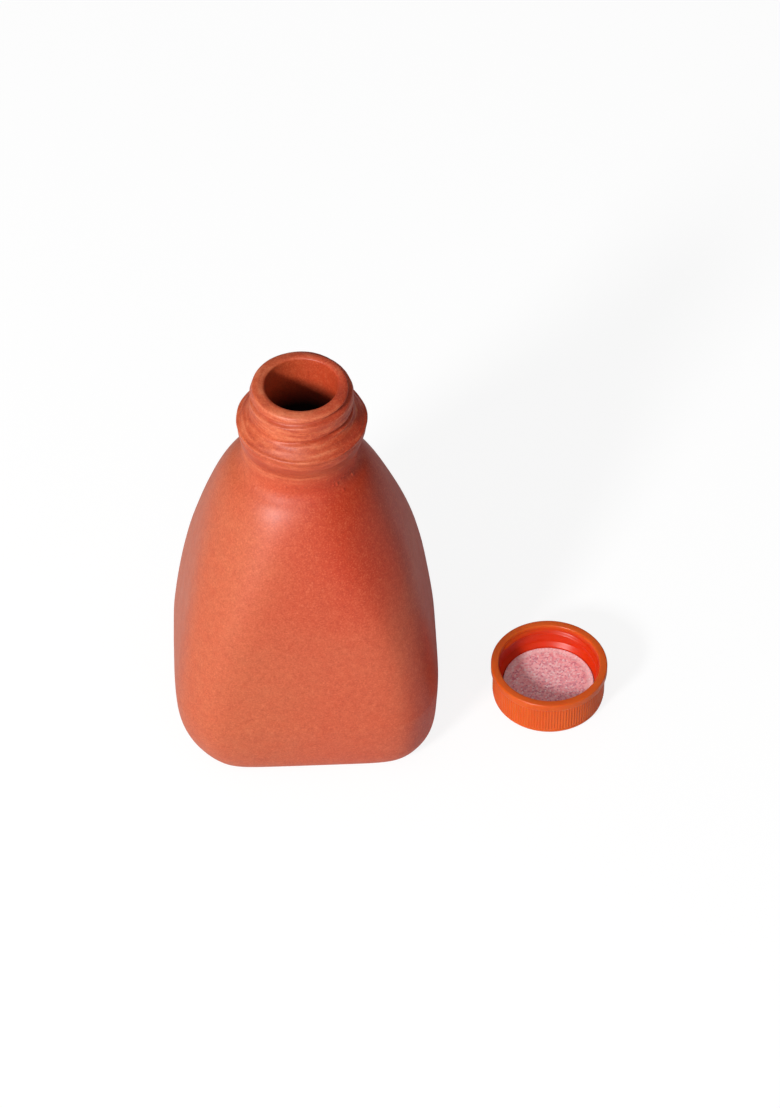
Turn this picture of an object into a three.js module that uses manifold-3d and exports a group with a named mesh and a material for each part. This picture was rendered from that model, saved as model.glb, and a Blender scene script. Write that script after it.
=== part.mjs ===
// A terracotta water bottle, and its plastic screw cap lying upside down beside it.
// Millimetres, +Z up. The origin is the middle of the flat that the bottle stands on.

import * as THREE from "three";
import { mergeVertices } from "three/addons/utils/BufferGeometryUtils.js";
import Module from "manifold-3d";

const wasm = await Module();
wasm.setup();

// Body of the bottle, from the floor up to the shoulder
const BODY_WIDTH = 116;
const BODY_DEPTH = 107.5;
const BASE_INSET = 12; // from the widest place in to the edge of the flat that it stands on
const WIDEST_HEIGHT = 32.5;
const FLANK_RISE = 112;
const FLANK_LEAN = 1.25; // sideways per unit of height, where the flank meets the shoulder
const CORNER_REACH = 1.18; // reach of the round form at the corners, per unit of reach to the flat panels
const ROUND_REACH = 0.8; // the same where the round form lies wholly inside the panels
const PANEL_EDGE = 24; // more makes the edges of the panels sharper
const PANEL_RISE = 11; // the panels keep their full width this far above the widest place
const CLAY_WALL = 6;
const CLAY_FLOOR = 8;

// Shares of a stretch of the outline that its ends run straight on for, before they bend
const EDGE_RUN = 0.73; // along the floor, of the way from the flat out to the widest place
const BELLY_DROP = 0.49; // down from the widest place, of the way to the floor
const BELLY_RISE = 0.02; // up from the widest place, of the flank's rise
const FLANK_RUN = 0.135; // down from the shoulder, of the flank's rise
const CURVE_RUN = 0.4; // at both ends of the short curves above the flank

// Neck of the bottle: every radius is built outwards from the bore
const BORE_DIAMETER = 31;
const LIP_WALL = 6.3;
const LIP_EDGE = 2.4;
const BORE_EDGE = 1;
const WAIST_STEP = 3.1; // from the threaded neck out to the waist below the collar
const COLLAR_PROUD = 2.6; // from the waist out to the collar's crest
const SHOULDER_FLARE = 3.3; // from the waist out to the shoulder
const SHOULDER_RISE = 11;
const COLLAR_RISE = 12.8;
const COLLAR_SLOPE = 6.4;
const NECK_RISE = 14.8;

// Screw thread, right-handed, one start: a groove in the neck, and a ridge in the cap that runs along it
const THREAD_PITCH = 9.6;
const GROOVE_DEPTH = 1.2;
const GROOVE_WIDTH = 3.8; // across its cutter, just outside the wall
const GROOVE_MOUTH = 60; // degrees round from +X, where the groove comes out through the lip
const GROOVE_LEAD = 3; // its cutter goes on this far above the lip
const CAP_RIDGE_HEIGHT = 1.3;
const CAP_RIDGE_WIDTH = 3.2; // across the ridge's foot, inside the wall
const CAP_RIDGE_END = 160; // degrees round from +X, where the ridge runs out under the rim
const PLAIN_RIM = 2; // from the rim down to the ridge's outer end
const PLAIN_SEAT = 3.4; // from the liner's face up to the ridge's inner end
const THREAD_CLEARANCE = 0.6;

// Screw cap and the liner disc inside it
const CROWN_THICKNESS = 2.8;
const CROWN_EDGE = 2.2;
const CROWN_PROUD = 0.5; // the plain crown edge stands out from the skirt
const SKIRT_WALL = 1.8;
const FLANGE_PROUD = 1.65; // the plain band round the open rim stands out from the skirt
const FLANGE_WIDTH = 3.4;
const RIM_EDGE = 0.6;
const RIM_CLEARANCE = 2.9; // from the rim of the tightened cap to the foot of the threaded neck
const KNURL_COUNT = 120;
const KNURL_ROOT = 0.35; // the valleys between the ribs stand out from the skirt
const KNURL_HEIGHT = 0.5;
const LINER_THICKNESS = 4.6;
const LINER_OVERHANG = 0.7; // the liner reaches this far past the flat of the lip
const LINER_CLEARANCE = 0.4;
const LINER_SEAT = 0.3;
const LIP_IMPRINT = 0.25;
const CAP_STAND_OFF = 24; // clear floor between the bottle and the cap
const CAP_FORWARD = 7; // the cap lies this far nearer the front than the bottle's middle

// How finely the round shapes are divided
const BOTTLE_SIDES = 56;
const CAP_SIDES = 72;
const THREAD_STEPS_PER_TURN = 48;
const FLANK_STEPS = 11;
const CURVE_STEPS = 7;
const SMALL_CURVE_STEPS = 4;
const EDGE_STEPS = 3;
const RUN_OUT = 0.08; // share of a thread's length over which each end fades into its wall
const EDGE_LIMIT = 0.4; // the most of a wall that the rounding of one of its edges takes up
const SAME_CORNER = 1e-5; // corners this near each other are one

// Corners of a thread's section: the share of its full height, or null at its root, and of its width
const GROOVE_SECTION = [[null, -0.5], [0, -0.5], [1, -0.25], [1, 0.25], [0, 0.5], [null, 0.5]];
const RIDGE_SECTION = [
  [null, -0.5], [0, -0.5], [0.7, -0.25], [1, 0], [0.7, 0.25], [0, 0.5], [null, 0.5],
];

// Heights and radii that follow from those sizes
const shoulderHeight = WIDEST_HEIGHT + FLANK_RISE;
const waistHeight = shoulderHeight + SHOULDER_RISE;
const crestHeight = waistHeight + COLLAR_RISE;
const neckFootHeight = crestHeight + COLLAR_SLOPE;
const bottleHeight = neckFootHeight + NECK_RISE;

const boreRadius = BORE_DIAMETER / 2;
const neckRadius = boreRadius + LIP_WALL;
const waistRadius = neckRadius + WAIST_STEP;
const collarRadius = waistRadius + COLLAR_PROUD;
const shoulderRadius = waistRadius + SHOULDER_FLARE;

const capBoreRadius = neckRadius + THREAD_CLEARANCE;
const skirtRadius = capBoreRadius + SKIRT_WALL;
const flangeRadius = skirtRadius + FLANGE_PROUD;
const lipEdge = Math.min(LIP_EDGE, EDGE_LIMIT * LIP_WALL);
const boreEdge = Math.min(BORE_EDGE, EDGE_LIMIT * LIP_WALL);
const linerRadius = neckRadius - lipEdge + LINER_OVERHANG;
const linerFace = CROWN_THICKNESS + LINER_SEAT + LINER_THICKNESS;
const capHeight = linerFace + NECK_RISE - RIM_CLEARANCE;

const clay = new THREE.MeshStandardMaterial({ color: 0xcc6544, roughness: 0.85, metalness: 0 });
const orangePlastic = new THREE.MeshStandardMaterial({ color: 0xe8551f, roughness: 0.45, metalness: 0 });
const foam = new THREE.MeshStandardMaterial({ color: 0xd39ba0, roughness: 0.95, metalness: 0 });

function at(radius, height) {
  return new THREE.Vector2(radius, height);
}

// A smooth stretch of a profile, without its first point, which ends the stretch before it
function bend(start, leaving, arriving, end, steps) {
  return new THREE.CubicBezierCurve(start, leaving, arriving, end).getPoints(steps).slice(1);
}

// A quarter round of a profile, from angle to angle + 90 degrees
function quarterRound(middle, radius, angle) {
  const arc = new THREE.EllipseCurve(middle.x, middle.y, radius, radius, angle, angle + Math.PI / 2);
  return arc.getPoints(EDGE_STEPS);
}

// Turns a profile of (radius, height) points about +Z
function turned(profile, sides) {
  return new THREE.LatheGeometry(profile, sides).rotateX(Math.PI / 2);
}

// A closed geometry as a solid, with its faces pointing out
function solidOf(geometry) {
  const bare = geometry.clone();
  bare.deleteAttribute("normal");
  bare.deleteAttribute("uv");
  const merged = mergeVertices(bare, SAME_CORNER);
  const corners = merged.attributes.position.array;
  const index = merged.index.array;
  const triangles = [];
  let sixVolumes = 0;
  for (let i = 0; i < index.length; i += 3) {
    const [a, b, c] = [index[i], index[i + 1], index[i + 2]];
    if (a === b || b === c || c === a) continue;
    triangles.push([a, b, c]);
    const [p, q, r] = [a, b, c].map((k) => new THREE.Vector3().fromArray(corners, 3 * k));
    sixVolumes += p.dot(q.cross(r));
  }
  if (sixVolumes < 0) triangles.forEach((triangle) => triangle.reverse());
  const vertProperties = new Float32Array(corners);
  const triVerts = new Uint32Array(triangles.flat());
  return new wasm.Manifold(new wasm.Mesh({ numProp: 3, vertProperties, triVerts }));
}

function meshOf(name, solid, material) {
  const { vertProperties, triVerts } = solid.getMesh();
  const geometry = new THREE.BufferGeometry();
  geometry.setAttribute("position", new THREE.BufferAttribute(vertProperties, 3));
  geometry.setIndex(new THREE.BufferAttribute(triVerts, 1));
  geometry.computeVertexNormals();
  const mesh = new THREE.Mesh(geometry, material);
  mesh.name = name;
  return mesh;
}

// A thread's form, which climbs anticlockwise, seen from above, from its lower to its upper end.
// Its root lies on one side of the wall's face and its crest on the other, and both ends fade until
// the crest lies on the root's side too.
function threadForm(thread) {
  const { section, wallRadius, rootRadius, crestRadius, width } = thread;
  const { upperAngle, upperHeight, lowerHeight } = thread;
  const turns = (upperHeight - lowerHeight) / THREAD_PITCH;
  const steps = Math.round(turns * THREAD_STEPS_PER_TURN);
  const hiddenRadius = (wallRadius + rootRadius) / 2;
  const positions = [];
  for (let step = 0; step <= steps; step += 1) {
    const along = step / steps;
    const fade = THREE.MathUtils.smoothstep(Math.min(along, 1 - along), 0, RUN_OUT);
    const angle = THREE.MathUtils.degToRad(upperAngle) - along * turns * 2 * Math.PI;
    const height = THREE.MathUtils.lerp(upperHeight, lowerHeight, along);
    for (const [share, across] of section) {
      const proud = THREE.MathUtils.lerp(hiddenRadius, crestRadius, fade * share);
      const radius = share === null ? rootRadius : proud;
      positions.push(radius * Math.cos(angle), radius * Math.sin(angle), height + across * width);
    }
  }
  const sides = section.length;
  const index = [];
  for (let step = 0; step < steps; step += 1) {
    for (let side = 0; side < sides; side += 1) {
      const here = step * sides + side;
      const beside = step * sides + (side + 1) % sides;
      index.push(here, beside, here + sides, beside, beside + sides, here + sides);
    }
  }
  const last = steps * sides;
  for (let side = 1; side < sides - 1; side += 1) {
    index.push(0, side + 1, side);
    index.push(last, last + side, last + side + 1);
  }
  const geometry = new THREE.BufferGeometry();
  geometry.setAttribute("position", new THREE.Float32BufferAttribute(positions, 3));
  geometry.setIndex(index);
  return geometry;
}

// Outside of the bottle from the middle of its base up to the foot of the threaded neck
function outsideProfile() {
  const baseEdge = at(BODY_WIDTH / 2 - BASE_INSET, 0);
  const widest = at(BODY_WIDTH / 2, WIDEST_HEIGHT);
  const shoulder = at(shoulderRadius, shoulderHeight);
  const waist = at(waistRadius, waistHeight);
  const crest = at(collarRadius, crestHeight);
  const neckFoot = at(neckRadius, neckFootHeight);
  const flankRun = FLANK_RUN * FLANK_RISE;
  const shoulderRun = CURVE_RUN * SHOULDER_RISE;
  const collarRun = CURVE_RUN * COLLAR_RISE;
  const slopeRun = CURVE_RUN * COLLAR_SLOPE;
  return [
    at(0, 0),
    baseEdge,
    ...bend(
      baseEdge,
      at(baseEdge.x + EDGE_RUN * BASE_INSET, 0),
      at(widest.x, widest.y - BELLY_DROP * WIDEST_HEIGHT),
      widest,
      CURVE_STEPS,
    ),
    ...bend(
      widest,
      at(widest.x, widest.y + BELLY_RISE * FLANK_RISE),
      at(shoulder.x + FLANK_LEAN * flankRun, shoulder.y - flankRun),
      shoulder,
      FLANK_STEPS,
    ),
    ...bend(
      shoulder,
      at(shoulder.x - FLANK_LEAN * shoulderRun, shoulder.y + shoulderRun),
      at(waist.x, waist.y - shoulderRun),
      waist,
      SMALL_CURVE_STEPS,
    ),
    ...bend(
      waist,
      at(waist.x, waist.y + collarRun),
      at(crest.x, crest.y - collarRun),
      crest,
      SMALL_CURVE_STEPS,
    ),
    ...bend(
      crest,
      at(crest.x, crest.y + slopeRun),
      at(neckFoot.x + CURVE_RUN * WAIST_STEP, neckFoot.y - slopeRun),
      neckFoot,
      CURVE_STEPS,
    ),
  ];
}

function lipProfile() {
  return [
    ...quarterRound(at(neckRadius - lipEdge, bottleHeight - lipEdge), lipEdge, 0),
    ...quarterRound(at(boreRadius + boreEdge, bottleHeight - boreEdge), boreEdge, Math.PI / 2),
  ];
}

// Inside of the bottle from the bore down to the middle of its floor, one wall in from the outside
function insideProfile() {
  const boreFoot = at(boreRadius, waistHeight);
  const slant = Math.hypot(1, FLANK_LEAN);
  const shoulder = at(
    shoulderRadius - CLAY_WALL / slant,
    shoulderHeight - CLAY_WALL * FLANK_LEAN / slant,
  );
  const widest = at(BODY_WIDTH / 2 - CLAY_WALL, WIDEST_HEIGHT);
  const floorEdge = at(BODY_WIDTH / 2 - BASE_INSET - CLAY_WALL / 2, CLAY_FLOOR);
  const boreRun = CURVE_RUN * (boreFoot.y - shoulder.y);
  const flankRun = FLANK_RUN * FLANK_RISE;
  return [
    boreFoot,
    ...bend(
      boreFoot,
      at(boreFoot.x, boreFoot.y - boreRun),
      at(shoulder.x - FLANK_LEAN * boreRun, shoulder.y + boreRun),
      shoulder,
      SMALL_CURVE_STEPS,
    ),
    ...bend(
      shoulder,
      at(shoulder.x + FLANK_LEAN * flankRun, shoulder.y - flankRun),
      at(widest.x, widest.y + BELLY_RISE * FLANK_RISE),
      widest,
      CURVE_STEPS,
    ),
    ...bend(
      widest,
      at(widest.x, widest.y - BELLY_DROP * (WIDEST_HEIGHT - CLAY_FLOOR)),
      at(floorEdge.x + EDGE_RUN * (widest.x - floorEdge.x), CLAY_FLOOR),
      floorEdge,
      SMALL_CURVE_STEPS,
    ),
    at(0, CLAY_FLOOR),
  ];
}

// Presses four panels into the round body, full at its foot and dying out up to the waist
function pressPanels(geometry) {
  const place = geometry.attributes.position;
  const panelTop = WIDEST_HEIGHT + PANEL_RISE;
  for (let i = 0; i < place.count; i += 1) {
    const x = place.getX(i);
    const y = place.getY(i);
    const radius = Math.hypot(x, y);
    if (radius === 0) continue;
    const rise = THREE.MathUtils.inverseLerp(panelTop, waistHeight, place.getZ(i));
    const roundness = THREE.MathUtils.clamp(rise, 0, 1) ** 2;
    const reach = THREE.MathUtils.lerp(CORNER_REACH, ROUND_REACH, roundness);
    const depthShare = THREE.MathUtils.lerp(BODY_DEPTH / BODY_WIDTH, 1, roundness);
    const round = reach ** -PANEL_EDGE;
    const frontPanel = (round + 1) * depthShare ** -PANEL_EDGE - round;
    const across = Math.abs(x / radius) ** PANEL_EDGE;
    const deep = Math.abs(y / radius) ** PANEL_EDGE;
    const share = ((round + across + frontPanel * deep) / (round + 1)) ** (-1 / PANEL_EDGE);
    place.setXY(i, share * x, share * y);
  }
  return geometry;
}

function clayBottle() {
  const profile = [...outsideProfile(), ...lipProfile(), ...insideProfile()];
  const vessel = solidOf(pressPanels(turned(profile, BOTTLE_SIDES)));
  const groove = threadForm({
    section: GROOVE_SECTION,
    wallRadius: neckRadius,
    rootRadius: neckRadius + GROOVE_DEPTH,
    crestRadius: neckRadius - GROOVE_DEPTH,
    width: GROOVE_WIDTH,
    upperAngle: GROOVE_MOUTH + 360 * GROOVE_LEAD / THREAD_PITCH,
    upperHeight: bottleHeight + GROOVE_LEAD,
    lowerHeight: neckFootHeight,
  });
  return meshOf("clay_bottle", vessel.subtract(solidOf(groove)), clay);
}

// The cap's cup, open side up, with its crown on the floor. A cone leads the lip to the liner's seat.
function capCup() {
  const crownRadius = skirtRadius + CROWN_PROUD;
  const seatRadius = linerRadius + LINER_CLEARANCE;
  const flangeFoot = capHeight - FLANGE_WIDTH;
  const profile = [
    at(0, 0),
    ...quarterRound(at(crownRadius - CROWN_EDGE, CROWN_EDGE), CROWN_EDGE, -Math.PI / 2),
    at(skirtRadius, CROWN_EDGE + 2 * CROWN_PROUD),
    at(skirtRadius, flangeFoot - FLANGE_PROUD),
    at(flangeRadius, flangeFoot),
    at(flangeRadius, capHeight - RIM_EDGE),
    at(flangeRadius - RIM_EDGE, capHeight),
    at(capBoreRadius + RIM_EDGE, capHeight),
    at(capBoreRadius, capHeight - RIM_EDGE),
    at(capBoreRadius, linerFace + capBoreRadius - seatRadius),
    at(seatRadius, linerFace),
    at(seatRadius, CROWN_THICKNESS),
    at(0, CROWN_THICKNESS),
  ];
  return solidOf(turned(profile, CAP_SIDES));
}

// Fine upright ribs round the skirt, between the plain crown edge and the plain flange
function capKnurl() {
  const valley = skirtRadius + KNURL_ROOT;
  const crest = valley + KNURL_HEIGHT;
  const outline = [];
  for (let i = 0; i < 2 * KNURL_COUNT; i += 1) {
    const radius = i % 2 === 0 ? valley : crest;
    const angle = Math.PI * i / KNURL_COUNT;
    outline.push(at(radius * Math.cos(angle), radius * Math.sin(angle)));
  }
  const ring = new THREE.Shape(outline);
  const middleOfWall = (capBoreRadius + skirtRadius) / 2;
  ring.holes.push(new THREE.Path().absarc(0, 0, middleOfWall, 0, 2 * Math.PI, true));
  const foot = CROWN_EDGE + CROWN_PROUD;
  const top = capHeight - FLANGE_WIDTH - FLANGE_PROUD / 2;
  const band = new THREE.ExtrudeGeometry(ring, {
    depth: top - foot,
    bevelEnabled: false,
    curveSegments: CAP_SIDES / 2,
  });
  return solidOf(band.translate(0, 0, foot));
}

function screwCap() {
  const ridge = threadForm({
    section: RIDGE_SECTION,
    wallRadius: capBoreRadius,
    rootRadius: capBoreRadius + SKIRT_WALL / 2,
    crestRadius: capBoreRadius - CAP_RIDGE_HEIGHT,
    width: CAP_RIDGE_WIDTH,
    upperAngle: CAP_RIDGE_END,
    upperHeight: capHeight - PLAIN_RIM,
    lowerHeight: linerFace + PLAIN_SEAT,
  });
  return meshOf("screw_cap", capCup().add(capKnurl()).add(solidOf(ridge)), orangePlastic);
}

// A soft disc in the cap's crown, with the ring that the lip has pressed into it
function capLiner() {
  const foot = CROWN_THICKNESS + LINER_SEAT;
  const profile = [
    at(0, foot),
    at(linerRadius, foot),
    at(linerRadius, linerFace),
    at(neckRadius - lipEdge, linerFace),
    at(neckRadius - lipEdge, linerFace - LIP_IMPRINT),
    at(boreRadius + boreEdge, linerFace - LIP_IMPRINT),
    at(boreRadius + boreEdge, linerFace),
    at(0, linerFace),
  ];
  return meshOf("cap_liner", solidOf(turned(profile, CAP_SIDES)), foam);
}

const cap = new THREE.Group();
cap.position.set(BODY_WIDTH / 2 + CAP_STAND_OFF + flangeRadius, -CAP_FORWARD, 0);
cap.add(screwCap(), capLiner());

const bottleWithCap = new THREE.Group();
bottleWithCap.add(clayBottle(), cap);

export default bottleWithCap;
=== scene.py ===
"""Looks of a terracotta water bottle, with its plastic screw cap lying upside down beside it.

Everything is in metres, +Z up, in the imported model's own frame.
"""

import math

import bpy
import numpy as np
from mathutils import Matrix, Vector, noise


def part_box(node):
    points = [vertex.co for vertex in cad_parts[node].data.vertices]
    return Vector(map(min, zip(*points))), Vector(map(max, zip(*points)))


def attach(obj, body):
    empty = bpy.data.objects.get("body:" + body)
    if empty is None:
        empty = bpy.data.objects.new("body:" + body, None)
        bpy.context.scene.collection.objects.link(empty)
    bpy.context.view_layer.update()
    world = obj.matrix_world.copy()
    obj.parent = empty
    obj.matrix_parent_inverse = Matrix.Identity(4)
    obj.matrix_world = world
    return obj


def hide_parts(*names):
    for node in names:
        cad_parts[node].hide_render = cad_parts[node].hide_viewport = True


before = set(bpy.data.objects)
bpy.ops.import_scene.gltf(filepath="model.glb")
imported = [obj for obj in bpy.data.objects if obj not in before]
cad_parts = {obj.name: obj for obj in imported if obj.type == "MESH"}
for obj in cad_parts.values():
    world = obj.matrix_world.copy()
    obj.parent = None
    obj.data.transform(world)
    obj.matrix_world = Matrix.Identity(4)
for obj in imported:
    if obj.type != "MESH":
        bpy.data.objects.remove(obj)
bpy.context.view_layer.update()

MM = 0.001
RIGHT = (1, 0, 0)
UP = (0, 0, 1)
WHITE = (1, 1, 1, 1)

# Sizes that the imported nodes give
bottle_low, bottle_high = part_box("clay_bottle")
cap_low, cap_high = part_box("screw_cap")
liner_low, liner_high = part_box("cap_liner")
BODY_WIDTH = bottle_high.x - bottle_low.x
BODY_DEPTH = bottle_high.y - bottle_low.y
BOTTLE_HEIGHT = bottle_high.z
CAP_AXIS = (cap_low + cap_high) / 2
FLANGE_RADIUS = (cap_high.x - cap_low.x) / 2
CAP_HEIGHT = cap_high.z
LINER_RADIUS = (liner_high.x - liner_low.x) / 2
LINER_FOOT = liner_low.z
LINER_FACE = liner_high.z

# Body of the bottle, from the floor up to the shoulder
BASE_INSET = 12 * MM
WIDEST_HEIGHT = 32.5 * MM
FLANK_RISE = 112 * MM
FLANK_LEAN = 1.25
CORNER_REACH = 1.165
ROUND_REACH = 0.8
PANEL_EDGE = 24
PANEL_RISE = 11 * MM
CLAY_WALL = 6 * MM
CLAY_FLOOR = 8 * MM
BASE_RADIUS = BODY_WIDTH / 2 - BASE_INSET
SHOULDER_HEIGHT = WIDEST_HEIGHT + FLANK_RISE

# How far the handles of the outline's curves reach, as shares of the stretch that each one bends
EDGE_RUN = 0.73
BELLY_DROP = 0.49
BELLY_RISE = 0.02
FLANK_RUN = 0.135
CURVE_RUN = 0.4

# Neck of the bottle
BORE_RADIUS = 15.5 * MM
LIP_WALL = 6.3 * MM
LIP_EDGE = 1.4 * MM
LIP_RING = 5 * MM
LIP_TAPER = 1.1 * MM
BORE_EDGE = 0.9 * MM
LIP_CREST_SHARE = 0.3
WAIST_STEP = 3.1 * MM
COLLAR_PROUD = 2.6 * MM
SHOULDER_FLARE = 3.3 * MM
SHOULDER_RISE = 11 * MM
COLLAR_RISE = 12.8 * MM
COLLAR_SLOPE = 6.4 * MM
NECK_RADIUS = BORE_RADIUS + LIP_WALL
LIP_RADIUS = NECK_RADIUS - LIP_TAPER
LIP_CREST_RADIUS = BORE_RADIUS + LIP_CREST_SHARE * LIP_WALL
WAIST_RADIUS = NECK_RADIUS + WAIST_STEP
COLLAR_RADIUS = WAIST_RADIUS + COLLAR_PROUD
SHOULDER_RADIUS = WAIST_RADIUS + SHOULDER_FLARE
WAIST_HEIGHT = SHOULDER_HEIGHT + SHOULDER_RISE
CREST_HEIGHT = WAIST_HEIGHT + COLLAR_RISE
NECK_FOOT_HEIGHT = CREST_HEIGHT + COLLAR_SLOPE

# What the maker's hands left: sideways shifts of the base, shoulder and neck, and soft swells
BASE_SHIFT = 2 * MM
BASE_SHIFT_TOP = 25 * MM
SHOULDER_SHIFT = -1.2 * MM
SHOULDER_SHIFT_FOOT = 90 * MM
NECK_SHIFT = 0.46 * MM
NECK_SHIFT_BACK = 0.33 * MM
SWELLS = [(42 * MM, 0.28 * MM), (17 * MM, 0.10 * MM)]

# The same on the neck: a drawn edge on the collar above an undercut, tool marks, and crumbs at the join; and
# how far the painted shade under the collar reaches
BEAD_RISE = 1.3 * MM
BEAD_REACH = 1.0 * MM
BEAD_PROUD = 0.7 * MM
BEAD_UNEVEN = 0.25
BEAD_UNEVEN_RUN = 11 * MM
UNDERCUT_DROP = 1.2 * MM
UNDERCUT_REACH = 2.2 * MM
UNDERCUT_DEPTH = 0.6 * MM
UNDER_COLLAR_SHADE = 5.2 * MM
TOOL_MARKS = [(1.9 * MM, 0.24 * MM), (0.9 * MM, 0.11 * MM)]
TOOL_MARK_STRETCH = 9
CRUMB_COUNT = 60
CRUMB_SIZE = (0.5 * MM, 1.1 * MM)
CRUMB_PROUD = (0.2 * MM, 0.5 * MM)
CRUMB_BAND = (146 * MM, 156 * MM)

# Seeds of what is random, and how far one seed's noise lies from the next one's
CRUMB_SEED = 3
BEAD_SEED = 5
GROOVE_SEED = 7
TOOL_MARK_SEED = 20
SEED_STEP = (17.3, 5.1, 9.7)

# Screw thread: a groove in the neck, and a ridge in the cap that runs along it
THREAD_PITCH = 9.6 * MM
GROOVE_DEPTH = 2.1 * MM
GROOVE_FLAT = 0.5 * MM
GROOVE_REACH = 1.7 * MM
GROOVE_MOUTH = math.radians(60)
GROOVE_LEAD = 3 * MM
GROOVE_SHARE = 0.85
GROOVE_UNEVEN = 0.3
GROOVE_UNEVEN_RUN = 9 * MM
CAP_RIDGE_HEIGHT = 1.3 * MM
CAP_RIDGE_FLAT = 0.1 * MM
CAP_RIDGE_REACH = 1.5 * MM
CAP_RIDGE_END = math.radians(160)
PLAIN_RIM = 2 * MM
PLAIN_SEAT = 3.4 * MM
RUN_OUT = 0.08

# Screw cap and its liner
CROWN_THICKNESS = 2.8 * MM
CROWN_EDGE = 2.2 * MM
CROWN_PROUD = 0.5 * MM
SKIRT_WALL = 1.8 * MM
FLANGE_PROUD = 1.65 * MM
FLANGE_WIDTH = 3.4 * MM
RIM_EDGE = 0.6 * MM
KNURL_COUNT = 120
KNURL_ROOT = 0.35 * MM
KNURL_HEIGHT = 0.38 * MM
KNURL_GAP = 0.1 * MM
LINER_CLEARANCE = 0.4 * MM
LINER_EDGE = 0.3 * MM
LIP_IMPRINT = 0.25 * MM
SKIRT_RADIUS = FLANGE_RADIUS - FLANGE_PROUD
SKIRT_FOOT = CROWN_EDGE + 2 * CROWN_PROUD
FLANGE_FOOT = CAP_HEIGHT - FLANGE_WIDTH
SKIRT_TOP = FLANGE_FOOT - FLANGE_PROUD
CAP_BORE_RADIUS = SKIRT_RADIUS - SKIRT_WALL
SEAT_RADIUS = LINER_RADIUS + LINER_CLEARANCE

# How many points go round each mesh
BOTTLE_SIDES = 480
CAP_SIDES = 6 * KNURL_COUNT
LINER_SIDES = 180

# Names of the numbers that tell the materials how far inside its mouth each place of the bottle or the cap
# lies, how much painted shade it gets in a groove or under the collar, and how far the lip has pressed the
# liner, where its paler ring is partly painted highlight
DEPTH_INSIDE = "depth_inside"
RECESS_SHADE = "recess_shade"
PRESSED_AND_SHEEN = "pressed"

# Where the clay changes its tone, and where painted shade lies on it: a deeper, redder painted shade to the
# right of the axis and on the upper right, the neck's own tone up the body, and a near-black painted shade
# down inside the mouth
RIGHT_SHADE = (-28 * MM, 14 * MM)
SIDE_SHADE = (40 * MM, 52 * MM)
NECK_SIDE_SHADE = (-8 * MM, 22 * MM)
UPPER_SHADE = (72 * MM, 116 * MM)
NECK_TONE = (WAIST_HEIGHT - 2 * MM, WAIST_HEIGHT + 4 * MM)
JOIN_FOOT = (SHOULDER_HEIGHT, SHOULDER_HEIGHT + 5 * MM)
JOIN_TOP = (WAIST_HEIGHT + 6 * MM, WAIST_HEIGHT)
INSIDE_SHADE_DEPTH = (11 * MM, 27 * MM)
TONE_DRIFT = 20 * MM

# Sizes of the marks in the clay, the plastic and the foam
DRIFT_SIZE = 45 * MM
STREAK_SIZE = 1.5 * MM
STREAK_STRETCH = (0.12, 0.12, 1)
CLOUD_SIZE = 7 * MM
MOTTLE_SIZE = 2.4 * MM
CLAY_GRAIN = 0.75 * MM
PLASTIC_CLOUD = 14 * MM
PLASTIC_POLISH = 4 * MM
PLASTIC_GRAIN = 0.5 * MM
FOAM_CELL = 0.8 * MM

# Floor and room: the floor's real paleness, what it shows to the camera and in reflections, the room's fill
# at the sides and overhead with the side it comes from, and how high the white horizon stands in reflections
FLOOR_REACH = 6
FLOOR_PALENESS = 0.8
FLOOR_SHADE_SEEN = 0.17
FLOOR_GLOW_SEEN = 0.87
FLOOR_GLOW_MIRRORED = 0.05
SIDE_FILL = 0.05
OVERHEAD_FILL = 0.55
FILL_FROM = Vector((-0.35, -0.2, 0.9)).normalized()
HORIZON_WHITE = 0.02
HORIZON_DIM = 0.06

# Camera of the photograph, aimed from its own place at a point near the bottle
PHOTO_HEIGHT_PX = 1108
FOCAL_LENGTH_PX = 4400
SENSOR = 36
CAMERA_DISTANCE = 1967.8 * MM
CAMERA_PITCH = math.radians(46.30)
CAMERA_TURN = math.radians(-2.62)
AIM_RIGHT = 37.42 * MM
AIM_UP = 60.35 * MM


# Curves, rings of points and meshes

def smoothstep(value, low, high):
    share = np.clip((value - low) / (high - low), 0, 1)
    return share * share * (3 - 2 * share)


def hump(distance, reach):
    """1 in the middle of a soft ridge, falling to 0 at its reach."""
    return np.cos(np.clip(np.abs(distance) / reach, 0, 1) * math.pi / 2) ** 2


def bend(start, leaving, arriving, end, steps):
    """Points of a cubic curve, without its first one, which ends the stretch before it."""
    share = np.linspace(0, 1, steps + 1)[1:, None]
    rest = 1 - share
    a, b, c, d = (np.array(point) for point in (start, leaving, arriving, end))
    return rest ** 3 * a + 3 * rest ** 2 * share * b + 3 * rest * share ** 2 * c + share ** 3 * d


def straight(start, end, steps):
    """Points of a straight line, without its first one."""
    share = np.linspace(0, 1, steps + 1)[1:, None]
    return np.array(start) + share * (np.array(end) - np.array(start))


def quarter_round(middle, reach, angle, steps):
    """A quarter of an ellipse, anticlockwise from the angle, with that reach across and up."""
    turn = angle + np.linspace(0, math.pi / 2, steps + 1)
    return np.stack([middle[0] + reach[0] * np.cos(turn), middle[1] + reach[1] * np.sin(turn)], axis=1)


def thread_share(angle, height, upper_angle, upper_height, lower_height, flat, reach):
    """How much of a thread's full height each place has, from 0 beside it to 1 along its middle."""
    turns = (upper_height - lower_height) / THREAD_PITCH
    first = np.mod(upper_angle - angle, 2 * math.pi) / (2 * math.pi)
    share = np.zeros(np.broadcast(angle, height).shape)
    for turn in range(math.ceil(turns) + 1):
        along = (first + turn) / turns
        fade = smoothstep(np.minimum(along, 1 - along), 0, RUN_OUT)
        middle = upper_height - THREAD_PITCH * (first + turn)
        share = np.maximum(share, fade * (1 - smoothstep(np.abs(height - middle), flat, reach)))
    return share


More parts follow.
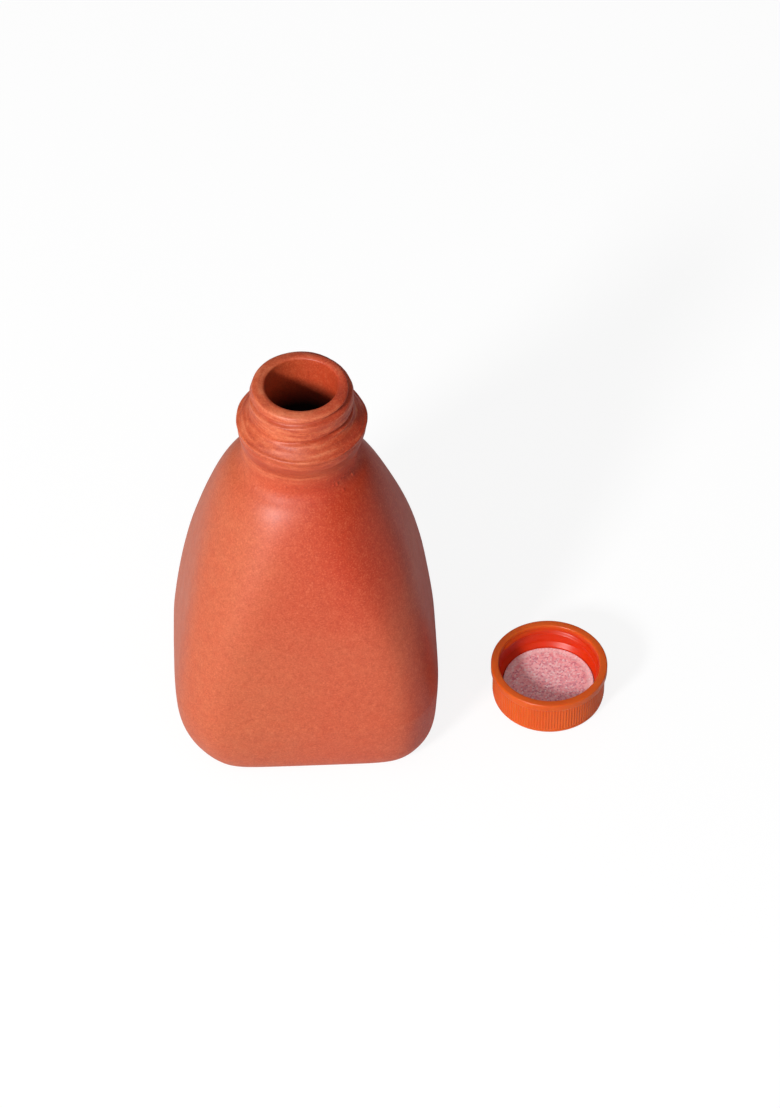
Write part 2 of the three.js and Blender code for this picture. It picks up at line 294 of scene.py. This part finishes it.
def soft_noise(places, size, seed):
    """Smooth noise from about -1 to 1 at each place, with swells of about that size."""
    shift = Vector([seed * step for step in SEED_STEP])
    flat = (places / size).reshape(-1, 3)
    values = [noise.noise(Vector(place) + shift) for place in flat.tolist()]
    return np.array(values).reshape(places.shape[:-1])


def directions(sides):
    """That many angles, evenly round an axis, as one row."""
    return np.linspace(0, 2 * math.pi, sides, endpoint=False)[None, :]


def rings_about(x, y, radius, height, angle):
    """Rings of points with those radii and heights round the upright axis at x, y."""
    across = x + radius * np.cos(angle)
    deep = y + radius * np.sin(angle)
    return np.stack(np.broadcast_arrays(across, deep, height), axis=2)


def outward(rings):
    """Directions out of the surface that the rings of points make."""
    around = np.roll(rings, -1, axis=1) - np.roll(rings, 1, axis=1)
    along = np.gradient(rings, axis=0)
    normal = np.cross(around, along)
    length = np.linalg.norm(normal, axis=2, keepdims=True)
    return normal / np.maximum(length, 1e-12)


def ring_mesh(name, rings):
    """A closed mesh through rings of points; the first and last rings shrink to one point each."""
    ring_count, side_count, _ = rings.shape
    first = rings[0].mean(axis=0)
    last = rings[-1].mean(axis=0)
    inner = rings[1:-1].reshape(-1, 3)
    places = np.vstack([inner, first, last])
    faces = []
    for ring in range(ring_count - 3):
        for side in range(side_count):
            beside = (side + 1) % side_count
            low = ring * side_count
            high = low + side_count
            faces.append((low + side, low + beside, high + beside, high + side))
    first_index = len(inner)
    top = (ring_count - 3) * side_count
    for side in range(side_count):
        beside = (side + 1) % side_count
        faces.append((first_index, beside, side))
        faces.append((first_index + 1, top + side, top + beside))
    mesh = bpy.data.meshes.new(name)
    mesh.from_pydata(places.tolist(), [], faces)
    mesh.validate()
    mesh.polygons.foreach_set("use_smooth", [True] * len(mesh.polygons))
    piece = bpy.data.objects.new(name, mesh)
    bpy.context.scene.collection.objects.link(piece)
    return piece


def mark_vertices(piece, name, values, rings):
    """Keeps a number for each vertex of the mesh through the rings, which its material can read."""
    values = np.broadcast_to(values, rings.shape[:2])
    flat = [*values[1:-1].reshape(-1), values[0].mean(), values[-1].mean()]
    piece.data.attributes.new(name, "FLOAT", "POINT").data.foreach_set("value", flat)


def place_piece(piece, body, node, material):
    piece.data.materials.append(material)
    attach(piece, body)
    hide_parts(node)


# Shape of the bottle

def outside_outline():
    """Radius and height from the middle of the base up the outside of the bottle to its lip."""
    base_edge = (BASE_RADIUS, 0)
    widest = (BODY_WIDTH / 2, WIDEST_HEIGHT)
    shoulder = (SHOULDER_RADIUS, SHOULDER_HEIGHT)
    waist = (WAIST_RADIUS, WAIST_HEIGHT)
    crest = (COLLAR_RADIUS, CREST_HEIGHT)
    neck_foot = (NECK_RADIUS, NECK_FOOT_HEIGHT)
    ring_foot = (NECK_RADIUS, BOTTLE_HEIGHT - LIP_RING)
    flank_run = FLANK_RUN * FLANK_RISE
    shoulder_run = CURVE_RUN * SHOULDER_RISE
    collar_run = CURVE_RUN * COLLAR_RISE
    slope_run = CURVE_RUN * COLLAR_SLOPE
    return np.vstack([
        [(0, 0)],
        straight((0, 0), base_edge, steps=12),
        bend(
            base_edge,
            (base_edge[0] + EDGE_RUN * BASE_INSET, 0),
            (widest[0], (1 - BELLY_DROP) * WIDEST_HEIGHT),
            widest,
            steps=30,
        ),
        bend(
            widest,
            (widest[0], WIDEST_HEIGHT + BELLY_RISE * FLANK_RISE),
            (shoulder[0] + FLANK_LEAN * flank_run, shoulder[1] - flank_run),
            shoulder,
            steps=70,
        ),
        bend(
            shoulder,
            (shoulder[0] - FLANK_LEAN * shoulder_run, shoulder[1] + shoulder_run),
            (waist[0], waist[1] - shoulder_run),
            waist,
            steps=44,
        ),
        bend(waist, (waist[0], waist[1] + collar_run), (crest[0], crest[1] - collar_run), crest, steps=44),
        bend(
            crest,
            (crest[0], crest[1] + slope_run),
            (neck_foot[0] + CURVE_RUN * WAIST_STEP, neck_foot[1] - slope_run),
            neck_foot,
            steps=30,
        ),
        straight(neck_foot, ring_foot, steps=36),
        straight(ring_foot, (LIP_RADIUS, BOTTLE_HEIGHT - LIP_EDGE), steps=12)[:-1],
    ])


def lip_outline():
    """Over the lip, from its outer edge by way of its crest to the edge of the bore."""
    outer = (LIP_RADIUS - LIP_CREST_RADIUS, LIP_EDGE)
    inner = (LIP_CREST_RADIUS - BORE_RADIUS, BORE_EDGE)
    return np.vstack([
        quarter_round((LIP_CREST_RADIUS, BOTTLE_HEIGHT - LIP_EDGE), outer, 0, steps=14),
        quarter_round((LIP_CREST_RADIUS, BOTTLE_HEIGHT - BORE_EDGE), inner, math.pi / 2, steps=12)[1:],
    ])


def inside_outline():
    """Down the bore and the inside of the body to the middle of its floor."""
    bore_foot = (BORE_RADIUS, WAIST_HEIGHT)
    slant = math.hypot(1, FLANK_LEAN)
    shoulder = (SHOULDER_RADIUS - CLAY_WALL / slant, SHOULDER_HEIGHT - CLAY_WALL * FLANK_LEAN / slant)
    widest = (BODY_WIDTH / 2 - CLAY_WALL, WIDEST_HEIGHT)
    floor_edge = (BASE_RADIUS - CLAY_WALL / 2, CLAY_FLOOR)
    flank_run = FLANK_RUN * FLANK_RISE
    bore_run = CURVE_RUN * (WAIST_HEIGHT - shoulder[1])
    return np.vstack([
        straight((BORE_RADIUS, BOTTLE_HEIGHT - BORE_EDGE), bore_foot, steps=16),
        bend(
            bore_foot,
            (bore_foot[0], bore_foot[1] - bore_run),
            (shoulder[0] - FLANK_LEAN * bore_run, shoulder[1] + bore_run),
            shoulder,
            steps=16,
        ),
        bend(
            shoulder,
            (shoulder[0] + FLANK_LEAN * flank_run, shoulder[1] - flank_run),
            (widest[0], WIDEST_HEIGHT + BELLY_RISE * FLANK_RISE),
            widest,
            steps=24,
        ),
        bend(
            widest,
            (widest[0], WIDEST_HEIGHT - BELLY_DROP * (WIDEST_HEIGHT - CLAY_FLOOR)),
            (floor_edge[0] + EDGE_RUN * (widest[0] - floor_edge[0]), CLAY_FLOOR),
            floor_edge,
            steps=14,
        ),
        straight(floor_edge, (0, CLAY_FLOOR), steps=6),
    ])


def pressed_share(angle, height):
    """Share of the round form's reach that is left once four panels are pressed into it."""
    panel_top = WIDEST_HEIGHT + PANEL_RISE
    roundness = np.clip((height - panel_top) / (WAIST_HEIGHT - panel_top), 0, 1) ** 2
    reach = CORNER_REACH + (ROUND_REACH - CORNER_REACH) * roundness
    depth_share = BODY_DEPTH / BODY_WIDTH
    depth_share = depth_share + (1 - depth_share) * roundness
    round_form = reach ** -PANEL_EDGE
    front_panel = (round_form + 1) * depth_share ** -PANEL_EDGE - round_form
    across = np.abs(np.cos(angle)) ** PANEL_EDGE
    deep = np.abs(np.sin(angle)) ** PANEL_EDGE
    return ((round_form + across + front_panel * deep) / (round_form + 1)) ** (-1 / PANEL_EDGE)


def hand_shift(height):
    """How far each height's ring stands to the right and to the back of the bottle's axis."""
    base = 1 - smoothstep(height, 0, BASE_SHIFT_TOP)
    shoulder = smoothstep(height, SHOULDER_SHIFT_FOOT, SHOULDER_HEIGHT)
    neck = smoothstep(height, SHOULDER_HEIGHT, CREST_HEIGHT)
    right = BASE_SHIFT * base + SHOULDER_SHIFT * (shoulder - neck) + NECK_SHIFT * neck
    return right, NECK_SHIFT_BACK * neck


def neck_groove(angle, radius, height, outside):
    """How much of the groove's full depth each place has, uneven as a tool leaves it."""
    share = thread_share(
        angle,
        height,
        GROOVE_MOUTH + 2 * math.pi * GROOVE_LEAD / THREAD_PITCH,
        BOTTLE_HEIGHT + GROOVE_LEAD,
        NECK_FOOT_HEIGHT,
        GROOVE_FLAT,
        GROOVE_REACH,
    )
    on_wall = smoothstep(radius, LIP_RADIUS - GROOVE_DEPTH, LIP_RADIUS)
    wall = rings_about(0, 0, NECK_RADIUS, 0, angle)
    uneven = GROOVE_SHARE + GROOVE_UNEVEN * soft_noise(wall, GROOVE_UNEVEN_RUN, GROOVE_SEED)
    return np.where(outside & (height > CREST_HEIGHT), on_wall * uneven * share, 0)


def neck_marks(rings):
    """How far the drawn collar edge and the tool marks stand out of the neck."""
    height = rings[:, :, 2]
    uneven = 1 - BEAD_UNEVEN + BEAD_UNEVEN * soft_noise(rings, BEAD_UNEVEN_RUN, BEAD_SEED)
    marks = BEAD_PROUD * uneven * hump(height - CREST_HEIGHT - BEAD_RISE, BEAD_REACH)
    marks = marks - UNDERCUT_DEPTH * hump(height - CREST_HEIGHT + UNDERCUT_DROP, UNDERCUT_REACH)
    drawn_out = rings / np.array([TOOL_MARK_STRETCH, TOOL_MARK_STRETCH, 1])
    on_neck = smoothstep(height, SHOULDER_HEIGHT, CREST_HEIGHT)
    for seed, (size, depth) in enumerate(TOOL_MARKS, TOOL_MARK_SEED):
        marks = marks + depth * on_neck * soft_noise(drawn_out, size, seed)
    return marks


def crumbs(rings):
    """How far the crumbs of clay left along the join stand out of the surface."""
    draw = np.random.default_rng(CRUMB_SEED)
    proud = np.zeros(rings.shape[:2])
    heights = rings[:, 0, 2]
    for _ in range(CRUMB_COUNT):
        ring = int(np.argmin(np.abs(heights - draw.uniform(*CRUMB_BAND))))
        side = int(draw.integers(rings.shape[1]))
        away = np.linalg.norm(rings - rings[ring, side], axis=2)
        proud = np.maximum(proud, draw.uniform(*CRUMB_PROUD) * hump(away, draw.uniform(*CRUMB_SIZE)))
    return proud


def clay_bottle(material):
    outline = np.vstack([outside_outline(), lip_outline(), inside_outline()])
    radius = outline[:, :1]
    height = outline[:, 1:]
    angle = directions(BOTTLE_SIDES)
    lip = int(np.argmax(outline[:, 1]))
    outside = (np.arange(len(outline)) < lip)[:, None]
    groove = neck_groove(angle, radius, height, outside)
    reach = radius * pressed_share(angle, height) - GROOVE_DEPTH * groove
    right, back = hand_shift(height)
    rings = rings_about(right, back, reach, height, angle)
    swells = sum(depth * soft_noise(rings, size, seed) for seed, (size, depth) in enumerate(SWELLS))
    proud = smoothstep(height, 0, BASE_INSET) * swells
    proud[:lip] += neck_marks(rings[:lip]) + crumbs(rings[:lip])
    rings = rings + outward(rings) * proud[:, :, None]
    piece = ring_mesh("clay_bottle_fired", rings)
    depth_inside = np.where(outside, 0, BOTTLE_HEIGHT - height)
    # Painted shade under the collar's overhang and in the groove, kept with the vertices for the clay's
    # colour
    under_collar_shade = np.where(outside, hump(height - CREST_HEIGHT + UNDER_COLLAR_SHADE, UNDER_COLLAR_SHADE), 0)
    mark_vertices(piece, DEPTH_INSIDE, depth_inside, rings)
    mark_vertices(piece, RECESS_SHADE, np.maximum(groove, under_collar_shade), rings)
    place_piece(piece, "bottle", "clay_bottle", material)


# Shape of the cap and its liner

def cap_outline():
    """Radius and height from the middle of the crown, on the floor, up the skirt and down inside."""
    crown_radius = SKIRT_RADIUS + CROWN_PROUD
    seat_top = LINER_FACE + CAP_BORE_RADIUS - SEAT_RADIUS
    rim_low = CAP_HEIGHT - RIM_EDGE
    crown_edge = (CROWN_EDGE, CROWN_EDGE)
    rim_edge = (RIM_EDGE, RIM_EDGE)
    return np.vstack([
        [(0, 0)],
        straight((0, 0), (crown_radius - CROWN_EDGE, 0), steps=10)[:-1],
        quarter_round((crown_radius - CROWN_EDGE, CROWN_EDGE), crown_edge, -math.pi / 2, steps=10),
        straight((crown_radius, CROWN_EDGE), (SKIRT_RADIUS, SKIRT_FOOT), steps=4),
        straight((SKIRT_RADIUS, SKIRT_FOOT), (SKIRT_RADIUS, SKIRT_TOP), steps=18),
        straight((SKIRT_RADIUS, SKIRT_TOP), (FLANGE_RADIUS, FLANGE_FOOT), steps=4),
        straight((FLANGE_RADIUS, FLANGE_FOOT), (FLANGE_RADIUS, rim_low), steps=6)[:-1],
        quarter_round((FLANGE_RADIUS - RIM_EDGE, rim_low), rim_edge, 0, steps=5),
        quarter_round((CAP_BORE_RADIUS + RIM_EDGE, rim_low), rim_edge, math.pi / 2, steps=5),
        straight((CAP_BORE_RADIUS, rim_low), (CAP_BORE_RADIUS, seat_top), steps=50),
        straight((CAP_BORE_RADIUS, seat_top), (SEAT_RADIUS, LINER_FACE), steps=6),
        straight((SEAT_RADIUS, LINER_FACE), (SEAT_RADIUS, CROWN_THICKNESS), steps=3),
        straight((SEAT_RADIUS, CROWN_THICKNESS), (0, CROWN_THICKNESS), steps=8),
    ])


def screw_cap(material):
    outline = cap_outline()
    radius = outline[:, :1]
    height = outline[:, 1:]
    angle = directions(CAP_SIDES)
    rim = int(np.argmax(outline[:, 1]))
    outside = (np.arange(len(outline)) <= rim)[:, None]
    ridge = thread_share(
        angle,
        height,
        CAP_RIDGE_END,
        CAP_HEIGHT - PLAIN_RIM,
        LINER_FACE + PLAIN_SEAT,
        CAP_RIDGE_FLAT,
        CAP_RIDGE_REACH,
    )
    bore_wall = ~outside & (radius > CAP_BORE_RADIUS - RIM_EDGE / 2)
    reach = radius - np.where(bore_wall, CAP_RIDGE_HEIGHT * ridge, 0)
    knurl_foot = CROWN_EDGE + CROWN_PROUD + KNURL_GAP
    knurl_top = FLANGE_FOOT - FLANGE_PROUD / 2 - KNURL_GAP
    knurled = outside & (height > knurl_foot) & (height < knurl_top)
    rib = KNURL_ROOT + KNURL_HEIGHT * (1 - np.cos(KNURL_COUNT * angle)) / 2
    reach = np.where(knurled, np.maximum(reach, SKIRT_RADIUS + rib), reach)
    rings = rings_about(CAP_AXIS.x, CAP_AXIS.y, reach, height, angle)
    piece = ring_mesh("screw_cap_moulded", rings)
    mark_vertices(piece, DEPTH_INSIDE, np.where(outside, 0, CAP_HEIGHT - height), rings)
    place_piece(piece, "cap", "screw_cap", material)


def cap_liner(material):
    edge_middle = (LINER_RADIUS - LINER_EDGE, LINER_FACE - LINER_EDGE)
    outline = np.vstack([
        [(0, LINER_FOOT)],
        straight((0, LINER_FOOT), (LINER_RADIUS, LINER_FOOT), steps=10),
        straight((LINER_RADIUS, LINER_FOOT), (LINER_RADIUS, LINER_FACE - LINER_EDGE), steps=3)[:-1],
        quarter_round(edge_middle, (LINER_EDGE, LINER_EDGE), 0, steps=4),
        straight((LINER_RADIUS - LINER_EDGE, LINER_FACE), (0, LINER_FACE), steps=60),
    ])
    radius = outline[:, :1]
    height = outline[:, 1:]
    on_face = height > LINER_FACE - LINER_EDGE / 2
    lip_middle = BORE_RADIUS + LIP_WALL / 2
    pressed = np.where(on_face, hump(radius - lip_middle, LIP_WALL / 2), 0)
    sunk = height - LIP_IMPRINT * pressed
    rings = rings_about(CAP_AXIS.x, CAP_AXIS.y, radius, sunk, directions(LINER_SIDES))
    piece = ring_mesh("cap_liner_disc", rings)
    mark_vertices(piece, PRESSED_AND_SHEEN, pressed, rings)
    place_piece(piece, "liner", "cap_liner", material)


# Materials

class Nodes:
    """The nodes of a material or a world; most calls add one node and return its output."""

    def __init__(self, tree):
        self.tree = tree

    def add(self, kind, settings=None, **inputs):
        """Adds a node; the name of an input has _ where its socket's name has a space."""
        node = self.tree.nodes.new(kind)
        for key, value in (settings or {}).items():
            setattr(node, key, value)
        for key, value in inputs.items():
            self.feed(node.inputs[key.replace("_", " ")], value)
        return node

    def feed(self, socket, value):
        """Links the socket to another node's output, or sets it to a constant."""
        if isinstance(value, bpy.types.NodeSocket):
            self.tree.links.new(value, socket)
        else:
            socket.default_value = value

    def add_pair(self, kind, settings, first, second):
        """Adds a node that works on its first two inputs."""
        node = self.add(kind, settings)
        self.feed(node.inputs[0], first)
        self.feed(node.inputs[1], second)
        return node

    def math(self, operation, first, second):
        return self.add_pair("ShaderNodeMath", {"operation": operation}, first, second).outputs["Value"]

    def along(self, vector, axis):
        """How far the vector reaches along the axis."""
        node = self.add_pair("ShaderNodeVectorMath", {"operation": "DOT_PRODUCT"}, vector, axis)
        return node.outputs["Value"]

    def spread(self, value, low, high, new_low=0.0, new_high=1.0):
        """The value, moved from the range between low and high to the new one, and kept within it."""
        limits = {"From_Min": low, "From_Max": high, "To_Min": new_low, "To_Max": new_high}
        return self.add("ShaderNodeMapRange", {"clamp": True}, Value=value, **limits).outputs["Result"]

    def ways_of_seeing(self):
        """1 for what the camera sees, and 1 for what it sees in a mirror or through glass."""
        path = self.add("ShaderNodeLightPath").outputs
        return path["Is Camera Ray"], self.math("MAXIMUM", path["Is Glossy Ray"], path["Is Transmission Ray"])


class Surface(Nodes):
    """A material with one Principled shader, made of noise and of the numbers kept with the vertices."""

    def __init__(self, name):
        self.material = bpy.data.materials.new(name)
        self.material.use_nodes = True
        super().__init__(self.material.node_tree)
        self.place = self.add("ShaderNodeTexCoord").outputs["Object"]

    def noise(self, size, detail, roughness=0.5, place=None):
        """Noise from 0 to 1 with swells of about that size."""
        node = self.add(
            "ShaderNodeTexNoise",
            Vector=place or self.place,
            Scale=1 / size,
            Detail=detail,
            Roughness=roughness,
        )
        return node.outputs["Fac"]

    def stretched(self, shares):
        """Each place with its three coordinates multiplied by those shares."""
        node = self.add_pair("ShaderNodeVectorMath", {"operation": "MULTIPLY"}, self.place, shares)
        return node.outputs["Vector"]

    def attribute(self, name):
        return self.add("ShaderNodeAttribute", {"attribute_name": name}).outputs["Fac"]

    def mix(self, share, first, second):
        """The first colour where the share is 0, and the second where it is 1."""
        node = self.add("ShaderNodeMix", {"data_type": "RGBA"})
        self.feed(node.inputs[0], share)
        self.feed(node.inputs[6], first)
        self.feed(node.inputs[7], second)
        return node.outputs[2]

    def tint(self, colour, tone, value, low, high, share=1.0):
        """The colour with a tone laid over it: none where the value is low, that share where it is high."""
        return self.mix(self.spread(value, low, high, 0, share), colour, tone)

    def bump(self, height, distance, strength):
        node = self.add("ShaderNodeBump", Height=height, Distance=distance, Strength=strength)
        return node.outputs["Normal"]

    def finish(self, **inputs):
        shader = self.tree.nodes["Principled BSDF"]
        for key, value in inputs.items():
            self.feed(shader.inputs[key.replace("_", " ")], value)
        return self.material


def rgb(red, green, blue):
    """A colour given as it shows on screen, from 0 to 255, in linear light."""
    def linear(channel):
        share = channel / 255
        return share / 12.92 if share <= 0.04045 else ((share + 0.055) / 1.055) ** 2.4
    return (linear(red), linear(green), linear(blue), 1)


def terracotta():
    """Burnished clay, streaked on the neck and dull at the join, with painted shade: deeper and redder to the
    right and upper right, darker in the grooves and under the collar, near-black inside.
    """
    clay = Surface("burnished_terracotta")
    height = clay.along(clay.place, UP)
    across = clay.along(clay.place, RIGHT)
    depth_inside = clay.attribute(DEPTH_INSIDE)

    # Painted shade: the right side and the upper right, which face away from the key lamp, get a deeper,
    # redder colour than the paler lit left
    drift = clay.spread(clay.noise(DRIFT_SIZE, 3), 0, 1, -TONE_DRIFT, TONE_DRIFT)
    right = clay.spread(clay.math("ADD", across, drift), *RIGHT_SHADE)
    upper = clay.spread(clay.math("ADD", height, drift), *UPPER_SHADE)
    side = clay.spread(across, *SIDE_SHADE)
    painted_shade = clay.math("MAXIMUM", clay.math("MULTIPLY", right, upper), side)
    colour = clay.mix(right, rgb(199, 97, 59), rgb(203, 90, 56))
    colour = clay.mix(painted_shade, colour, rgb(200, 58, 24))

    # Painted shade on the neck too: darker and redder towards its right
    neck_side_shade = clay.spread(clay.along(clay.place, (1, 0.3, 0)), *NECK_SIDE_SHADE)
    neck_colour = clay.mix(neck_side_shade, rgb(204, 92, 51), rgb(199, 62, 29))
    outside = clay.spread(depth_inside, 1 * MM, 0)
    streak = clay.noise(STREAK_SIZE, 3, 0.6, clay.stretched(STREAK_STRETCH))
    streak = clay.math("ADD", clay.math("MULTIPLY", clay.math("SUBTRACT", streak, 0.5), outside), 0.5)
    neck_colour = clay.tint(neck_colour, rgb(232, 136, 94), streak, 0.5, 0.7, share=0.75)
    neck_colour = clay.tint(neck_colour, rgb(160, 50, 25), streak, 0.5, 0.3, share=0.75)
    colour = clay.tint(colour, neck_colour, height, *NECK_TONE)

    cloud = clay.spread(clay.noise(CLOUD_SIZE, 5, 0.65), 0.3, 0.7)
    mottle = clay.noise(MOTTLE_SIZE, 2, 0.6)
    grain = clay.noise(CLAY_GRAIN, 3, 0.65)
    colour = clay.tint(colour, rgb(197, 66, 33), cloud, 0, 1, share=0.3)
    colour = clay.tint(colour, rgb(230, 120, 78), mottle, 0.5, 0.75, share=0.18)
    colour = clay.tint(colour, rgb(164, 50, 26), mottle, 0.5, 0.25, share=0.22)
    colour = clay.tint(colour, rgb(238, 134, 92), grain, 0.52, 0.77, share=0.45)
    colour = clay.tint(colour, rgb(150, 42, 22), grain, 0.48, 0.23, share=0.5)
    # Painted shade in the grooves and under the collar
    colour = clay.tint(colour, rgb(172, 58, 29), clay.attribute(RECESS_SHADE), 0, 1, share=0.65)
    # Painted shade inside the mouth, darkening to nearly black with depth
    colour = clay.tint(colour, rgb(24, 6, 4), depth_inside, *INSIDE_SHADE_DEPTH)

    join = clay.math("MINIMUM", clay.spread(height, *JOIN_FOOT), clay.spread(height, *JOIN_TOP))
    rough = clay.math("ADD", clay.spread(cloud, 0, 1, 0.43, 0.51), clay.math("MULTIPLY", join, 0.25))
    normal = clay.bump(grain, 0.05 * MM, 0.5)
    return clay.finish(Base_Color=colour, Roughness=rough, Normal=normal, Specular_IOR_Level=0.45)


def moulded_plastic():
    """Satin orange plastic that light enters a little, with a deeper red painted inside the cap as shade."""
    plastic = Surface("satin_orange_plastic")
    colour = plastic.tint(rgb(219, 87, 18), rgb(226, 95, 24), plastic.noise(PLASTIC_CLOUD, 2), 0.3, 0.7)
    # Painted shade: a deeper red inside the cap's hollow, standing in for the shade and bounced light there
    colour = plastic.tint(colour, rgb(216, 52, 10), plastic.attribute(DEPTH_INSIDE), 0.5 * MM, 3 * MM)
    rough = plastic.spread(plastic.noise(PLASTIC_POLISH, 3), 0.3, 0.7, 0.28, 0.36)
    normal = plastic.bump(plastic.noise(PLASTIC_GRAIN, 2), 0.02 * MM, 0.4)
    return plastic.finish(
        Base_Color=colour,
        Roughness=rough,
        Normal=normal,
        Specular_IOR_Level=0.3,
        Subsurface_Weight=0.3,
        Subsurface_Radius=(1, 0.25, 0.08),
        Subsurface_Scale=2.5 * MM,
    )


def speckled_foam():
    """Pink foam of small cells, each with its own tone, paler where the lip has pressed it, a paleness that
    is partly painted highlight.
    """
    foam = Surface("speckled_pink_foam")
    cells = foam.add("ShaderNodeTexVoronoi", Vector=foam.place, Scale=1 / FOAM_CELL)
    pick = foam.add("ShaderNodeSeparateColor", Color=cells.outputs["Color"]).outputs
    colour = foam.tint(rgb(246, 160, 166), rgb(253, 188, 191), pick["Red"], 0.35, 0.65)
    colour = foam.tint(colour, rgb(255, 226, 227), pick["Green"], 0.6, 1.05)
    colour = foam.tint(colour, rgb(206, 118, 138), pick["Blue"], 0.6, 1.05)
    # The ring pressed by the lip is painted paler, partly as crushed foam and partly as painted highlight
    colour = foam.tint(colour, rgb(255, 234, 234), foam.attribute(PRESSED_AND_SHEEN), 0.1, 0.9, share=0.45)
    normal = foam.bump(cells.outputs["Distance"], 0.15 * MM, 0.5)
    return foam.finish(Base_Color=colour, Roughness=0.9, Normal=normal)


# Room, light and camera

def pale_floor():
    """A pale material that the camera sees as white, with the shadows that fall on it."""
    material = bpy.data.materials.new("pale_floor")
    material.use_nodes = True
    material.node_tree.nodes.clear()
    nodes = Nodes(material.node_tree)
    camera, mirrored = nodes.ways_of_seeing()
    paleness = nodes.spread(camera, 0, 1, FLOOR_PALENESS, FLOOR_SHADE_SEEN)
    shaded = nodes.add("ShaderNodeBsdfDiffuse", Color=paleness)
    seen = nodes.math("MULTIPLY", camera, FLOOR_GLOW_SEEN)
    reflected = nodes.math("MULTIPLY", mirrored, FLOOR_GLOW_MIRRORED)
    glow = nodes.add("ShaderNodeEmission", Strength=nodes.math("MAXIMUM", seen, reflected))
    both = nodes.add_pair("ShaderNodeAddShader", {}, shaded.outputs["BSDF"], glow.outputs["Emission"])
    nodes.add("ShaderNodeOutputMaterial", Surface=both.outputs["Shader"])
    return material


def studio_floor(material):
    mesh = bpy.data.meshes.new("studio_floor")
    corners = [(x * FLOOR_REACH, y * FLOOR_REACH, 0) for x, y in ((-1, -1), (1, -1), (1, 1), (-1, 1))]
    mesh.from_pydata(corners, [], [(0, 1, 2, 3)])
    mesh.materials.append(material)
    floor = bpy.data.objects.new("studio_floor", mesh)
    bpy.context.scene.collection.objects.link(floor)


def studio_world():
    """White to the camera, a white horizon in reflections, and a soft fill, most of it from overhead."""
    world = bpy.data.worlds.new("studio")
    bpy.context.scene.world = world
    world.use_nodes = True
    world.node_tree.nodes.clear()
    nodes = Nodes(world.node_tree)
    camera, mirrored = nodes.ways_of_seeing()
    direction = nodes.add("ShaderNodeTexCoord").outputs["Generated"]
    horizon = nodes.spread(nodes.along(direction, UP), HORIZON_WHITE, HORIZON_DIM, 1, 0)
    fill = nodes.spread(nodes.along(direction, FILL_FROM), 0, 1, SIDE_FILL, OVERHEAD_FILL)
    white = nodes.math("MAXIMUM", camera, nodes.math("MULTIPLY", mirrored, horizon))
    room = nodes.add("ShaderNodeBackground", Color=WHITE, Strength=nodes.math("MAXIMUM", white, fill))
    nodes.add("ShaderNodeOutputWorld", Surface=room.outputs["Background"])


def soft_lamp(name, azimuth, elevation, distance, width, height, power):
    """A soft box aimed at the bottle's middle; azimuth 0 shines along +Y, and 90 along -X."""
    aim = Vector((0, 0, BOTTLE_HEIGHT / 2))
    turn = math.radians(azimuth)
    lift = math.radians(elevation)
    back = Vector((math.sin(turn) * math.cos(lift), -math.cos(turn) * math.cos(lift), math.sin(lift)))
    lamp = bpy.data.lights.new(name, "AREA")
    lamp.shape = "RECTANGLE"
    lamp.size = width
    lamp.size_y = height
    lamp.energy = power
    holder = bpy.data.objects.new(name, lamp)
    holder.location = aim + back * distance
    holder.rotation_euler = (-back).to_track_quat("-Z", "Y").to_euler()
    bpy.context.scene.collection.objects.link(holder)
    return holder


def studio_lamps():
    """A key lamp, and a strip that shows in reflections alone, as the long highlight on the shoulder."""
    soft_lamp("key", azimuth=-36, elevation=29, distance=2.2, width=0.35, height=0.35, power=41)
    strip = soft_lamp("strip", azimuth=-27, elevation=34, distance=2.2, width=0.6, height=2.4, power=23)
    strip.visible_diffuse = False


def photo_camera():
    forward = Vector((0, math.cos(CAMERA_PITCH), -math.sin(CAMERA_PITCH)))
    up = Vector((0, math.sin(CAMERA_PITCH), math.cos(CAMERA_PITCH)))
    right = Vector(RIGHT)
    data = bpy.data.cameras.new("photo_camera")
    data.sensor_width = SENSOR
    data.lens = FOCAL_LENGTH_PX * SENSOR / PHOTO_HEIGHT_PX
    camera = bpy.data.objects.new("photo_camera", data)
    turn = Matrix.Rotation(CAMERA_TURN, 3, "Z")
    camera.location = turn @ (AIM_RIGHT * right + AIM_UP * up - CAMERA_DISTANCE * forward)
    camera.rotation_euler = (turn @ forward).to_track_quat("-Z", "Y").to_euler()
    bpy.context.scene.collection.objects.link(camera)
    bpy.context.scene.camera = camera


clay_bottle(terracotta())
screw_cap(moulded_plastic())
cap_liner(speckled_foam())
studio_floor(pale_floor())
studio_world()
studio_lamps()
photo_camera()
bpy.context.scene.view_settings.view_transform = "Standard"
